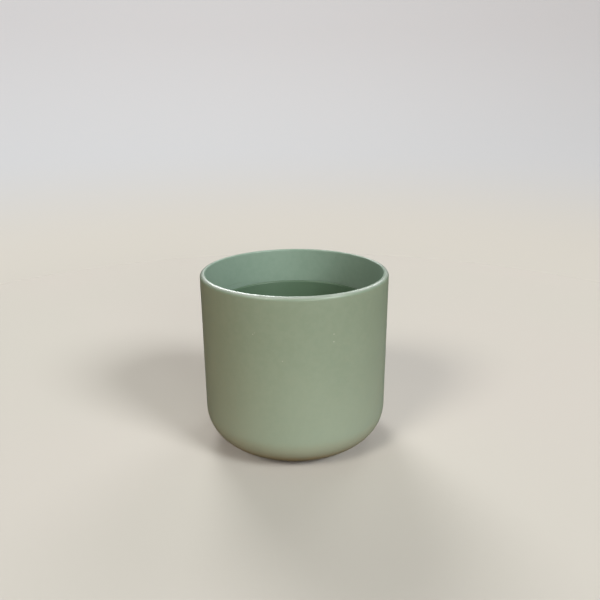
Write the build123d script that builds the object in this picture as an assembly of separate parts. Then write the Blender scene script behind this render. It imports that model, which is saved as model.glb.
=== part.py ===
from build123d import *
import math
import os

# A small brush holder: a thin-walled glazed pot with a large rounding round its foot, a
# lift-out inner cup that stands in it, and soft pads stuck under its foot ring.
# Millimetres, +Z up. The origin is on the surface the pot stands on, at the pot's axis.

# Pot
pot_diameter = 120.0
pot_height = 113.8          # from the standing surface to the rim, pads included
wall = 3.4
lip_outer_rounding = 2.35   # with the inner one, almost the whole wall's thickness
lip_inner_rounding = 1.0
corner_rounding = 22.3      # between the wall and the foot
inner_corner_rounding = 19.0
floor_thickness = 4.6

# Foot ring, and the shallow hollow inside it
foot_ring_width = 11.5
foot_ring_rounding = 0.6
foot_hollow_depth = 1.4
foot_hollow_rounding = 0.6

# Round boss on the pot's floor that centres the inner cup
boss_height = 0.9
boss_rounding = 0.4
boss_clearance = 0.6        # all round, inside the hollow under the cup

# Inner cup
cup_diameter = 105.0        # at its lip
cup_wall = 2.0
cup_lip_rounding = 0.95
cup_lip_drop = 22.1         # from the pot's rim down to the cup's lip
cup_draft = 2.0             # degrees, narrower downwards
cup_corner_rounding = 13.0
cup_floor_thickness = 3.2
cup_hollow_radius = 21.0    # the hollow under the cup, over the pot's boss
cup_hollow_depth = 1.5
cup_hollow_rounding = 0.4

# Pads under the foot ring
pad_count = 4
pad_diameter = 9.0
pad_thickness = 1.2
pad_rounding = 0.4

# Worked out from the above
pot_radius = pot_diameter / 2
inner_radius = pot_radius - wall
foot_radius = pot_radius - corner_rounding
hollow_radius = foot_radius - foot_ring_width
foot_z = pad_thickness
floor_z = foot_z + floor_thickness
cup_lip_z = pot_height - cup_lip_drop
pad_circle_radius = foot_radius - foot_ring_width / 2


def turned(corners):
    """Solid of revolution about Z. Each corner is a radius, a height and how far it is rounded."""
    points = [(radius, 0, height) for radius, height, _ in corners]
    roundings = [rounding for _, _, rounding in corners]
    outline = FilletPolyline(*points, radius=roundings, close=True)
    return revolve(make_face(outline), Axis.Z)


def make_pot():
    """The glazed pot: hollow foot, rounded corner, upright wall, rounded lip, floor with a boss."""
    hollow_z = foot_z + foot_hollow_depth
    boss_radius = cup_hollow_radius - boss_clearance
    boss_z = floor_z + boss_height
    return turned([
        (0, hollow_z, 0),
        (hollow_radius, hollow_z, foot_hollow_rounding),
        (hollow_radius, foot_z, foot_ring_rounding),
        (pot_radius, foot_z, corner_rounding),
        (pot_radius, pot_height, lip_outer_rounding),
        (inner_radius, pot_height, lip_inner_rounding),
        (inner_radius, floor_z, inner_corner_rounding),
        (boss_radius, floor_z, boss_rounding),
        (boss_radius, boss_z, boss_rounding),
        (0, boss_z, 0),
    ])


def make_cup():
    """The lift-out inner cup: thin drafted wall, round-topped lip, hollow under its floor."""
    hollow_z = floor_z + cup_hollow_depth
    inside_z = floor_z + cup_floor_thickness
    slope = math.tan(math.radians(cup_draft))
    lip_radius = cup_diameter / 2
    foot_corner_radius = lip_radius - (cup_lip_z - floor_z) * slope
    floor_corner_radius = lip_radius - cup_wall - (cup_lip_z - inside_z) * slope
    return turned([
        (0, hollow_z, 0),
        (cup_hollow_radius, hollow_z, cup_hollow_rounding),
        (cup_hollow_radius, floor_z, cup_hollow_rounding),
        (foot_corner_radius, floor_z, cup_corner_rounding),
        (lip_radius, cup_lip_z, cup_lip_rounding),
        (lip_radius - cup_wall, cup_lip_z, cup_lip_rounding),
        (floor_corner_radius, inside_z, cup_corner_rounding - cup_wall),
        (0, inside_z, 0),
    ])


def make_pad(turn):
    """One soft round pad under the foot ring, its lower edge rounded, turned about the pot's axis."""
    pad_radius = pad_diameter / 2
    pad = turned([
        (0, 0, 0),
        (pad_radius, 0, pad_rounding),
        (pad_radius, pad_thickness, 0),
        (0, pad_thickness, 0),
    ])
    return Rot(0, 0, turn) * Pos(pad_circle_radius, 0, 0) * pad


parts = {"pot_shell": make_pot(), "liner_cup": make_cup()}
for number in range(pad_count):
    parts[f"foot_pad_{number + 1}"] = make_pad((number + 0.5) * 360 / pad_count)

os.makedirs("parts", exist_ok=True)
for name, part in parts.items():
    export_step(part, f"parts/{name}.step")
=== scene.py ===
"""A brush holder pot in sage green glaze, with its lift-out inner cup and soft feet.

It stands on a pale studio floor.

Metres, +Z up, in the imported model's frame: the pot's axis is Z, and the pot stands on Z = 0.
"""

import math

import bpy
from mathutils import Matrix, Vector


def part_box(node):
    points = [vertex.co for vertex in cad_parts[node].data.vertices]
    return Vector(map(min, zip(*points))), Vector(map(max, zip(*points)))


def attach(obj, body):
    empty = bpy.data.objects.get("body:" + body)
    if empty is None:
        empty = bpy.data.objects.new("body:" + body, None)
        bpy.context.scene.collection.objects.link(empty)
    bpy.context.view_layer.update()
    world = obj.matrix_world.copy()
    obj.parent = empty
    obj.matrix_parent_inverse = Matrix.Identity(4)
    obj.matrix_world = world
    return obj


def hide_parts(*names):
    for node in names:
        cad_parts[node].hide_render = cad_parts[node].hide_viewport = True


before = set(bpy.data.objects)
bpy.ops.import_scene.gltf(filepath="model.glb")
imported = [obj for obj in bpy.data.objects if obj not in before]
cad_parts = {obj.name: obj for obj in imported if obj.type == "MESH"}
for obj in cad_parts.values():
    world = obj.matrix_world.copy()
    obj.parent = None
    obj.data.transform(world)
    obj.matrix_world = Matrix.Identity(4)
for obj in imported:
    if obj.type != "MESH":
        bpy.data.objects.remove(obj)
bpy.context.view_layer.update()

MM = 0.001
FULL_TURN = 2 * math.pi
ON_AXIS = 1e-9              # a point nearer the axis than this is on it, metres


# --- sizes ------------------------------------------------------------------------------------

def reach(node):
    """How far a node reaches from the Z axis."""
    low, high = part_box(node)
    return max(high.x, high.y, -low.x, -low.y)


POT_RADIUS = reach("pot_shell")
FOOT_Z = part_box("pot_shell")[0].z
RIM_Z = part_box("pot_shell")[1].z
CUP_RADIUS = reach("liner_cup") + 0.03 * MM    # the lip's crown is a little inside its corner
CUP_FOOT_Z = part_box("liner_cup")[0].z
CUP_LIP_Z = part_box("liner_cup")[1].z

POT_WALL = 3.4 * MM
LIP_OUTER_ROUNDING = 2.35 * MM
LIP_INNER_ROUNDING = 1.0 * MM
POT_CORNER = 22.3 * MM
POT_INNER_CORNER = 19.0 * MM
FOOT_RING_WIDTH = 11.5 * MM
FOOT_HOLLOW_DEPTH = 1.4 * MM
BOSS_RADIUS = 20.4 * MM
BOSS_HEIGHT = 0.9 * MM
FOOT_RADIUS = POT_RADIUS - POT_CORNER
HOLLOW_RADIUS = FOOT_RADIUS - FOOT_RING_WIDTH
FOOT_EDGE_ROUNDING = 0.6 * MM
BOSS_EDGE_ROUNDING = 0.4 * MM

CUP_WALL = 2.0 * MM
CUP_LIP_ROUNDING = 0.95 * MM
CUP_CORNER = 13.0 * MM
CUP_SLOPE = math.tan(math.radians(2.0))
CUP_FLOOR = 3.2 * MM
CUP_HOLLOW_RADIUS = 21.0 * MM
CUP_HOLLOW_DEPTH = 1.5 * MM
CUP_HOLLOW_ROUNDING = 0.4 * MM

PAD_TREAD_ROUNDING = 0.6 * MM
PAD_TOP_ROUNDING = 0.15 * MM

# How uneven the pot's wall and lip are
SIZE_CLEARANCE = 0.03 * MM         # the whole skin is this far inside the CAD's
OVAL_DEPTH = 0.07 * MM
LOBE_DEPTH = 0.05 * MM
RING_DEPTH = 0.015 * MM
WALL_SETTLES_OVER = 20 * MM        # the foot is even, and the wall is uneven from here up
LIP_DEPTH = 6 * MM                 # the stretch under the rim that droops
LIP_DROOP = 0.06 * MM


# --- meshes -----------------------------------------------------------------------------------

def rounded_outline(corners, arc_step=math.radians(5), longest_run=3 * MM):
    """Points of a closed outline. Each corner is a radius, a height and how far it is rounded."""
    points = []
    for i, (radius, height, rounding) in enumerate(corners):
        corner = Vector((radius, height))
        if not rounding:
            points.append(corner)
            continue
        back = (Vector(corners[i - 1][:2]) - corner).normalized()
        ahead = (Vector(corners[(i + 1) % len(corners)][:2]) - corner).normalized()
        half = back.angle(ahead) / 2
        centre = corner + (back + ahead).normalized() * rounding / math.sin(half)
        start = corner + back * rounding / math.tan(half) - centre
        end = corner + ahead * rounding / math.tan(half) - centre
        turn = math.pi - 2 * half
        steps = max(3, math.ceil(turn / arc_step))
        for k in range(steps + 1):
            share = k / steps
            arm = start * math.sin((1 - share) * turn) + end * math.sin(share * turn)
            points.append(centre + arm / math.sin(turn))
    outline = []
    for i, point in enumerate(points):
        following = points[(i + 1) % len(points)]
        runs = max(1, math.ceil((following - point).length / longest_run))
        on_axis = point.x < ON_AXIS and following.x < ON_AXIS
        outline.extend([point] if on_axis else [point.lerp(following, k / runs) for k in range(runs)])
    return outline


def lathe(name, outline, segments, shape=None):
    """Mesh turned about Z from an outline. It is closed if the outline's two ends are on the axis.

    shape moves a point in or out and up or down: it takes radius, height and angle.
    """
    verts, faces, rings = [], [], []
    for radius, height in outline:
        count = segments if radius > ON_AXIS else 1
        rings.append(range(len(verts), len(verts) + count))
        for k in range(count):
            angle = FULL_TURN * k / segments
            r, z = shape(radius, height, angle) if shape and count > 1 else (radius, height)
            verts.append((r * math.cos(angle), r * math.sin(angle), z))
    for below, above in zip(rings, rings[1:]):
        for k in range(segments):
            n = (k + 1) % segments
            if len(below) == 1:
                faces.append((below[0], above[n], above[k]))
            elif len(above) == 1:
                faces.append((below[k], below[n], above[0]))
            else:
                faces.append((below[k], below[n], above[n], above[k]))
    mesh = bpy.data.meshes.new(name)
    mesh.from_pydata(verts, [], faces)
    mesh.validate()
    mesh.shade_smooth()
    piece = bpy.data.objects.new(name, mesh)
    bpy.context.scene.collection.objects.link(piece)
    return piece


def hand_finish(radius, height, angle):
    """The slight unevenness of a glazed wall, always inwards, so that it stays in the CAD's size.

    Each wave runs from 0 to 1, and its phase only sets where on the pot it lies.
    """
    share = (height - FOOT_Z) / (RIM_Z - FOOT_Z)
    oval = 0.5 - 0.5 * math.cos(2 * angle + 0.7)
    lobes = 0.5 - 0.5 * math.cos(3 * angle + 1.9 + 2.2 * share)
    rings = 0.5 - 0.5 * math.cos(41 * share + math.sin(angle))
    inwards = OVAL_DEPTH * oval + LOBE_DEPTH * lobes + RING_DEPTH * rings
    upright = max(0.0, min(1.0, (height - CUP_FOOT_Z) / WALL_SETTLES_OVER))
    lip = max(0.0, (height - RIM_Z) / LIP_DEPTH + 1)
    droop = LIP_DROOP * lip * (0.5 - 0.5 * math.cos(4 * angle + 0.4))
    return radius - SIZE_CLEARANCE - inwards * upright, height - droop


def make_pot():
    """The glazed pot, one fired piece."""
    hollow_z = FOOT_Z + FOOT_HOLLOW_DEPTH
    inner_radius = POT_RADIUS - POT_WALL
    outline = rounded_outline([
        (0, hollow_z, 0),
        (HOLLOW_RADIUS, hollow_z, FOOT_EDGE_ROUNDING),
        (HOLLOW_RADIUS, FOOT_Z, FOOT_EDGE_ROUNDING),
        (POT_RADIUS, FOOT_Z, POT_CORNER),
        (POT_RADIUS, RIM_Z, LIP_OUTER_ROUNDING),
        (inner_radius, RIM_Z, LIP_INNER_ROUNDING),
        (inner_radius, CUP_FOOT_Z, POT_INNER_CORNER),
        (BOSS_RADIUS, CUP_FOOT_Z, BOSS_EDGE_ROUNDING),
        (BOSS_RADIUS, CUP_FOOT_Z + BOSS_HEIGHT, BOSS_EDGE_ROUNDING),
        (0, CUP_FOOT_Z + BOSS_HEIGHT, 0),
    ])
    return lathe("pot_body", outline, 360, hand_finish)


def make_cup():
    """The moulded inner cup."""
    inside_z = CUP_FOOT_Z + CUP_FLOOR
    hollow_z = CUP_FOOT_Z + CUP_HOLLOW_DEPTH
    outline = rounded_outline([
        (0, hollow_z, 0),
        (CUP_HOLLOW_RADIUS, hollow_z, CUP_HOLLOW_ROUNDING),
        (CUP_HOLLOW_RADIUS, CUP_FOOT_Z, CUP_HOLLOW_ROUNDING),
        (CUP_RADIUS - (CUP_LIP_Z - CUP_FOOT_Z) * CUP_SLOPE, CUP_FOOT_Z, CUP_CORNER),
        (CUP_RADIUS, CUP_LIP_Z, CUP_LIP_ROUNDING),
        (CUP_RADIUS - CUP_WALL, CUP_LIP_Z, CUP_LIP_ROUNDING),
        (CUP_RADIUS - CUP_WALL - (CUP_LIP_Z - inside_z) * CUP_SLOPE, inside_z, CUP_CORNER - CUP_WALL),
        (0, inside_z, 0),
    ])
    return lathe("inner_cup", outline, 256)


def make_pad(number):
    """One soft foot, a round disc whose standing face has a rounded edge."""
    low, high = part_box(f"foot_pad_{number}")
    radius = (high.x - low.x) / 2
    outline = rounded_outline([
        (0, low.z, 0),
        (radius, low.z, PAD_TREAD_ROUNDING),
        (radius, high.z, PAD_TOP_ROUNDING),
        (0, high.z, 0),
    ], arc_step=math.radians(10), longest_run=1 * MM)
    pad = lathe(f"pad_{number}", outline, 64)
    pad.data.transform(Matrix.Translation(((low.x + high.x) / 2, (low.y + high.y) / 2, 0)))
    return pad


# --- materials --------------------------------------------------------------------------------

class Recipe:
    """A node material: add() makes a node, join() links an output to an input."""

    def __init__(self, name):
        self.material = bpy.data.materials.new(name)
        self.material.use_nodes = True
        self.tree = self.material.node_tree
        self.shader = self.tree.nodes["Principled BSDF"]
        self.place = self.add("ShaderNodeTexCoord").outputs["Object"]

    def add(self, kind, inputs=None, **settings):
        node = self.tree.nodes.new(kind)
        for name, value in settings.items():
            setattr(node, name, value)
        for name, value in (inputs or {}).items():
            if isinstance(value, bpy.types.NodeSocket):
                self.join(value, node.inputs[name])
            else:
                node.inputs[name].default_value = value
        return node

    def join(self, output, socket):
        self.tree.links.new(output, socket)

    def noise(self, scale, detail=3.0, roughness=0.5):
        node = self.add("ShaderNodeTexNoise", {
            "Vector": self.place, "Scale": scale, "Detail": detail, "Roughness": roughness,
        })
        return node.outputs["Fac"]

    def spread(self, value, low, high, to_low=0.0, to_high=1.0):
        """value's range from low to high, spread smoothly to another range and held there."""
        node = self.add("ShaderNodeMapRange", {
            "Value": value, "From Min": low, "From Max": high, "To Min": to_low, "To Max": to_high,
        }, interpolation_type="SMOOTHSTEP")
        return node.outputs["Result"]

    def sum(self, operation, first, second):
        return self.add("ShaderNodeMath", {0: first, 1: second}, operation=operation).outputs[0]

    def mix(self, factor, first, second, blend="MIX"):
        node = self.add("ShaderNodeMix", data_type="RGBA", blend_type=blend)
        for index, value in ((0, factor), (6, first), (7, second)):
            if isinstance(value, bpy.types.NodeSocket):
                self.join(value, node.inputs[index])
            else:
                node.inputs[index].default_value = value
        return node.outputs[2]

    def bump(self, height, distance, normal=None):
        node = self.add("ShaderNodeBump", {"Height": height, "Distance": distance})
        if normal:
            self.join(normal, node.inputs["Normal"])
        return node.outputs["Normal"]

    def finish(self, colour, roughness, normal, **shader_inputs):
        self.join(colour, self.shader.inputs["Base Color"])
        self.join(roughness, self.shader.inputs["Roughness"])
        self.join(normal, self.shader.inputs["Normal"])
        for name, value in shader_inputs.items():
            self.shader.inputs[name.replace("_", " ")].default_value = value
        return self.material


def on_pot(degrees_round, height, radius):
    """A point at that angle from the front, towards +X, and that height."""
    angle = math.radians(degrees_round)
    return Vector((math.sin(angle) * radius, -math.cos(angle) * radius, height))


def glaze_material():
    """Satin sage glaze over pale clay, bare on the ring that the pot was fired on.

    It is paler and bluer towards the bottom of the wall, has painted light reflected up from the floor
    in a band above the foot, and painted shade, browner, at the bottom edge.
    """
    r = Recipe("sage_glaze")
    axes = r.add("ShaderNodeSeparateXYZ", {"Vector": r.place})
    height = axes.outputs["Z"]
    flat = r.add("ShaderNodeCombineXYZ", {"X": axes.outputs["X"], "Y": axes.outputs["Y"]})
    out = r.add("ShaderNodeVectorMath", {0: flat.outputs[0]}, operation="LENGTH").outputs["Value"]

    cloud = r.spread(r.noise(14, 2), 0.35, 0.65)
    mottle = r.spread(r.noise(260, 4, 0.6), 0.3, 0.7)
    grain = r.noise(2600, 2)
    glaze = r.mix(cloud, (0.207, 0.288, 0.216, 1), (0.221, 0.302, 0.228, 1))
    # paler and bluer towards the bottom of the wall
    lower_paling = r.spread(height, PALING_TOP, PALING_BOTTOM)
    tint = r.mix(lower_paling, (0.95, 0.95, 0.93, 1), (1.14, 1.10, 1.12, 1))
    glaze = r.mix(1.0, glaze, tint, "MULTIPLY")
    # painted light: a paler band above the foot, standing in for light reflected up from the floor
    painted_floor_light = r.spread(height, FLOOR_LIGHT_TOP, FLOOR_LIGHT_BOTTOM)
    glaze = r.mix(painted_floor_light, glaze, r.mix(1.0, glaze, (1.10, 1.04, 1.02, 1), "MULTIPLY"))
    # painted shade: browner and darker at the bottom edge, where the floor under the pot is in shade
    painted_foot_shade = r.spread(height, FOOT_SHADE_TOP, FOOT_SHADE_BOTTOM)
    glaze = r.mix(painted_foot_shade, glaze, r.mix(1.0, glaze, (0.89, 0.73, 0.52, 1), "MULTIPLY"))
    glaze = r.mix(r.spread(mottle, 0, 1, 0.0, 0.10), glaze, (0.30, 0.37, 0.29, 1))
    inside = r.spread(out, POT_RADIUS - 0.7 * POT_WALL, POT_RADIUS - 0.95 * POT_WALL)
    inside = r.sum("MULTIPLY", inside, r.spread(height, FOOT_Z + FOOT_HOLLOW_DEPTH, CUP_FOOT_Z))
    # the inner wall lighter and cooler: partly the glaze's own colour, partly painted light
    glaze = r.mix(inside, glaze, r.mix(1.0, glaze, (1.07, 1.08, 1.14, 1), "MULTIPLY"))
    # a faint broken dark line round the inner wall, just above the cup's lip
    waver = r.sum("ADD", height, r.spread(r.noise(25, 2), 0, 1, -0.5 * MM, 0.5 * MM))
    off_line = r.sum("ABSOLUTE", r.sum("SUBTRACT", waver, DARK_LINE_Z), 0.0)
    dark_line = r.sum("MULTIPLY", r.spread(off_line, 0.15 * MM, 0.35 * MM, 1.0, 0.0),
                r.spread(r.noise(45, 3), 0.55, 0.68))
    dark_line = r.sum("MULTIPLY", dark_line, inside)
    glaze = r.mix(r.spread(dark_line, 0, 1, 0.0, 0.35), glaze, (0.16, 0.21, 0.15, 1))

    shoulder = r.sum("MULTIPLY", r.spread(height, RIM_Z - 1.3 * MM, RIM_Z - 0.5 * MM),
                     r.spread(out, POT_RADIUS - 2.7 * MM, POT_RADIUS - 2.0 * MM))
    # the lip's outer shoulder painted paler: partly glaze thinning over the edge, partly a painted
    # highlight
    paler_lip_and_highlight = r.sum("MULTIPLY", shoulder, r.spread(r.noise(90, 3), 0.3, 0.7, 0.32, 0.60))
    glaze = r.mix(paler_lip_and_highlight, glaze, (0.50, 0.53, 0.50, 1))

    cells = r.add("ShaderNodeTexVoronoi", {"Vector": r.place, "Scale": 170.0})
    lot = r.add("ShaderNodeSeparateColor", {"Color": cells.outputs["Color"]}).outputs[0]
    chosen = r.spread(lot, 0.93, 0.95)
    speck = r.spread(cells.outputs["Distance"], 0.05, 0.09, 1.0, 0.0)
    speck = r.sum("MULTIPLY", speck, chosen)
    glaze = r.mix(r.spread(speck, 0, 1, 0.0, 0.30), glaze, (0.13, 0.155, 0.105, 1))

    # raised spots, each painted paler as a painted glint on the bump
    spot_and_glint = None
    for degrees_round, spot_height, size in RAISED_SPOTS:
        centre = on_pot(degrees_round, spot_height, POT_RADIUS)
        away = r.add("ShaderNodeVectorMath", {0: r.place, 1: centre}, operation="DISTANCE")
        mark = r.spread(away.outputs["Value"], 0.35 * size, size, 1.0, 0.0)
        spot_and_glint = mark if spot_and_glint is None else r.sum("MAXIMUM", spot_and_glint, mark)
    glaze = r.mix(r.spread(spot_and_glint, 0, 1, 0.0, 0.6), glaze, (0.44, 0.47, 0.41, 1))

    ring_edge = r.sum("ADD", height, r.spread(r.noise(220, 3), 0, 1, -0.25 * MM, 0.25 * MM))
    low = r.spread(ring_edge, FOOT_Z + 0.30 * MM, FOOT_Z + 0.42 * MM, 1.0, 0.0)
    past_hollow = r.spread(out, HOLLOW_RADIUS - 0.6 * MM, HOLLOW_RADIUS - 0.2 * MM)
    bare = r.sum("MULTIPLY", low, past_hollow)
    sandy = r.spread(r.noise(700, 5, 0.7), 0.3, 0.7)
    clay = r.mix(sandy, (0.50, 0.44, 0.35, 1), (0.62, 0.56, 0.47, 1))
    colour = r.mix(bare, glaze, clay)

    roughness = r.spread(mottle, 0, 1, 0.34, 0.40)
    roughness = r.sum("SUBTRACT", roughness, r.spread(shoulder, 0, 1, 0.0, 0.13))
    roughness = r.add("ShaderNodeMix", {"Factor": bare, "A": roughness, "B": 0.85}).outputs["Result"]
    normal = r.bump(r.noise(75, 2), 0.10 * MM)
    normal = r.bump(grain, 0.006 * MM, normal)
    normal = r.bump(r.sum("SUBTRACT", spot_and_glint, speck), 0.05 * MM, normal)
    return r.finish(colour, roughness, normal, Specular_IOR_Level=0.45)


def cup_material():
    """Moulded plastic, darker green, with the faint flow and scuffs of use."""
    r = Recipe("cup_green")
    flow = r.spread(r.noise(22, 3), 0.3, 0.7)
    colour = r.mix(flow, (0.084, 0.141, 0.087, 1), (0.096, 0.154, 0.099, 1))
    scuff = r.spread(r.noise(420, 6, 0.75), 0.62, 0.80)
    colour = r.mix(r.spread(scuff, 0, 1, 0.0, 0.2), colour, (0.22, 0.28, 0.21, 1))
    roughness = r.spread(scuff, 0, 1, 0.42, 0.55)
    normal = r.bump(r.noise(1800, 2), 0.01 * MM)
    return r.finish(colour, roughness, normal, Specular_IOR_Level=0.4)


def silicone_material():
    """Soft translucent grey pads, a little dusty."""
    r = Recipe("pad_silicone")
    dust = r.spread(r.noise(900, 5, 0.7), 0.45, 0.75)
    colour = r.mix(dust, (0.46, 0.46, 0.44, 1), (0.60, 0.58, 0.54, 1))
    roughness = r.spread(dust, 0, 1, 0.38, 0.75)
    normal = r.bump(r.noise(2500, 2), 0.01 * MM)
    return r.finish(colour, roughness, normal, Subsurface_Weight=0.3, Subsurface_Scale=1 * MM)


def floor_material():
    """Plain pale matt studio floor, without shine, so that it is as pale at a shallow view."""
    r = Recipe("studio_floor")
    tone = r.spread(r.noise(3, 2), 0.3, 0.7)
    colour = r.mix(tone, (0.523, 0.493, 0.452, 1), (0.515, 0.495, 0.448, 1))
    return r.finish(colour, r.spread(tone, 0, 1, 0.7, 0.75), r.bump(r.noise(400, 2), 0.01 * MM),
                    Specular_IOR_Level=0.0)


def bounce_material():
    """Warm brown, like a wooden table, with a painted contact shadow, darker, where it lies under the
    pot.
    """
    r = Recipe("warm_bounce")
    away = r.add("ShaderNodeVectorMath", {0: r.place}, operation="LENGTH").outputs["Value"]
    # painted contact shadow: darker under the pot, fading out further away
    clear_of_painted_shadow = r.spread(away, POT_RADIUS, 1.45 * POT_RADIUS)
    colour = r.mix(clear_of_painted_shadow, (0.24, 0.085, 0.02, 1), (0.47, 0.18, 0.05, 1))
    tone = r.noise(3, 2)
    return r.finish(colour, r.spread(tone, 0, 1, 0.7, 0.75), r.bump(r.noise(400, 2), 0.01 * MM))


def backdrop_material():
    """The floor's tone at its foot and cooler above. It glows, so it is as pale on every side."""
    r = Recipe("studio_backdrop")
    height = r.add("ShaderNodeSeparateXYZ", {"Vector": r.place}).outputs["Z"]
    rise = r.spread(height, 0.0, BACKDROP_FADE)
    glow = r.mix(rise, (0.43, 0.41, 0.37, 1), (0.40, 0.415, 0.43, 1))
    r.join(glow, r.shader.inputs["Emission Color"])
    colour = r.mix(rise, (0.20, 0.19, 0.17, 1), (0.20, 0.20, 0.20, 1))
    roughness = r.spread(r.noise(3, 2), 0, 1, 0.8, 0.85)
    normal = r.bump(r.noise(400, 2), 0.01 * MM)
    return r.finish(colour, roughness, normal, Specular_IOR_Level=0.0, Emission_Strength=1.0)


# Heights between which the colour changes: paler lower wall, a band of painted light above the foot,
# painted shade at the bottom edge
PALING_TOP, PALING_BOTTOM = 110 * MM, 10 * MM
FLOOR_LIGHT_TOP, FLOOR_LIGHT_BOTTOM = 24 * MM, 16 * MM
FOOT_SHADE_TOP, FOOT_SHADE_BOTTOM = 15 * MM, 7.5 * MM
DARK_LINE_Z = CUP_LIP_Z + 1.6 * MM       # a faint broken dark line round the inner wall, just above the cup's lip

# Small raised spots in the glaze, each painted paler as a painted glint: degrees round from the front,
# height, radius
RAISED_SPOTS = [
    (22.1, 90.8 * MM, 0.55 * MM),
    (22.1, 86.2 * MM, 0.60 * MM),
    (-22.9, 90.8 * MM, 0.50 * MM),
    (-21.8, 91.8 * MM, 0.40 * MM),
    (-6.3, 76.0 * MM, 0.45 * MM),
]


# --- stage ------------------------------------------------------------------------------------

# Camera, in pot diameters from the pot's foot
CAMERA_ASIDE = 0.0292
CAMERA_BACK = 3.0934
CAMERA_UP = 1.7783
CAMERA_PITCH = 0.3133      # radians below level
CAMERA_ROLL = -0.0053      # radians

FLOOR_RADIUS = 0.52        # flat floor before the backdrop rises, metres
FLOOR_REACH = 4.0
FLOOR_DROP = 0.02 * MM     # the floor lies this far under the pot's feet, and the card under the floor
SWEEP_RADIUS = 0.35
BACKDROP_TOP = 2.0
BACKDROP_FADE = 0.14       # height over which the floor's tone fades to the backdrop's


def make_camera():
    """A phone's main camera at arm's length, looking a little down."""
    data = bpy.data.cameras.new("camera")
    data.sensor_width = 36
    data.lens = 36
    camera = bpy.data.objects.new("camera", data)
    bpy.context.scene.collection.objects.link(camera)
    place = Vector((CAMERA_ASIDE, -CAMERA_BACK, CAMERA_UP)) * (2 * POT_RADIUS)
    tilt = Matrix.Rotation(math.pi / 2 - CAMERA_PITCH, 4, "X") @ Matrix.Rotation(CAMERA_ROLL, 4, "Z")
    camera.matrix_world = Matrix.Translation(place) @ tilt
    bpy.context.scene.camera = camera


def make_light(name, azimuth, elevation, strength, softness, colour):
    """Broad, far-off soft light.

    Azimuth is from the front, towards +X, and elevation is above level. softness is the light's
    width in the sky. All three are in degrees.
    """
    data = bpy.data.lights.new(name, "SUN")
    data.energy = strength
    data.angle = math.radians(softness)
    data.color = colour
    light = bpy.data.objects.new(name, data)
    bpy.context.scene.collection.objects.link(light)
    a, e = math.radians(azimuth), math.radians(elevation)
    towards = Vector((math.sin(a) * math.cos(e), -math.cos(a) * math.cos(e), math.sin(e)))
    light.location = towards
    light.rotation_mode = "QUATERNION"
    light.rotation_quaternion = towards.to_track_quat("Z", "Y")


def make_backdrop():
    """A pale sweep that rises all round from the floor. It casts no shadow and lights nothing."""
    steps = 24
    outline = [(FLOOR_RADIUS + SWEEP_RADIUS * math.sin(turn), SWEEP_RADIUS * (1 - math.cos(turn)))
               for turn in (math.pi / 2 * k / steps for k in range(steps + 1))]
    outline.append((FLOOR_RADIUS + SWEEP_RADIUS, BACKDROP_TOP))
    backdrop = lathe("backdrop", outline, 128)
    backdrop.data.materials.append(backdrop_material())
    backdrop.visible_diffuse = False
    backdrop.visible_glossy = False
    backdrop.visible_shadow = False


def make_floor():
    """The pale floor, and under it a warm card out of sight that lights the pot from below."""
    floor = lathe("floor", [(0, 0), (FLOOR_RADIUS, 0), (FLOOR_REACH, 0)], 96)
    floor.location.z = -FLOOR_DROP
    floor.data.materials.append(floor_material())
    floor.visible_diffuse = False
    floor.visible_glossy = False
    floor.visible_shadow = False
    bounce = lathe("bounce_card", [(0, 0), (FLOOR_REACH, 0)], 96)
    bounce.location.z = -2 * FLOOR_DROP
    bounce.data.materials.append(bounce_material())
    bounce.visible_camera = False
    bounce.visible_glossy = False


def make_lights():
    """Soft lights: two from above, the stronger on the right, a low one in front, two behind."""
    world = bpy.data.worlds.new("surroundings")
    world.use_nodes = True
    background = world.node_tree.nodes["Background"]
    background.inputs["Color"].default_value = (1, 1, 1, 1)
    background.inputs["Strength"].default_value = 0.05
    bpy.context.scene.world = world
    make_light("front", 20, 15, 0.96, 25, (1, 1, 0.99))
    make_light("left", -42, 40, 1.55, 20, (1, 0.95, 0.88))
    make_light("right", 50, 36, 2.36, 20, (0.97, 0.99, 1))
    make_light("back_left", -163, 38, 1.85, 25, (1, 1, 1))
    make_light("back_right", 150, 38, 0.60, 25, (1, 1, 1))


# --- assembly ---------------------------------------------------------------------------------

def place_piece(piece, material, body, node):
    """Gives a piece its material and its body, and hides the CAD node it stands for."""
    piece.data.materials.append(material)
    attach(piece, body)
    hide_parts(node)


make_camera()
place_piece(make_pot(), glaze_material(), "pot", "pot_shell")
place_piece(make_cup(), cup_material(), "cup", "liner_cup")
silicone = silicone_material()
for pad_number in range(1, 5):
    place_piece(make_pad(pad_number), silicone, "pot", f"foot_pad_{pad_number}")
make_floor()
make_backdrop()
make_lights()
bpy.context.scene.view_settings.view_transform = "Standard"
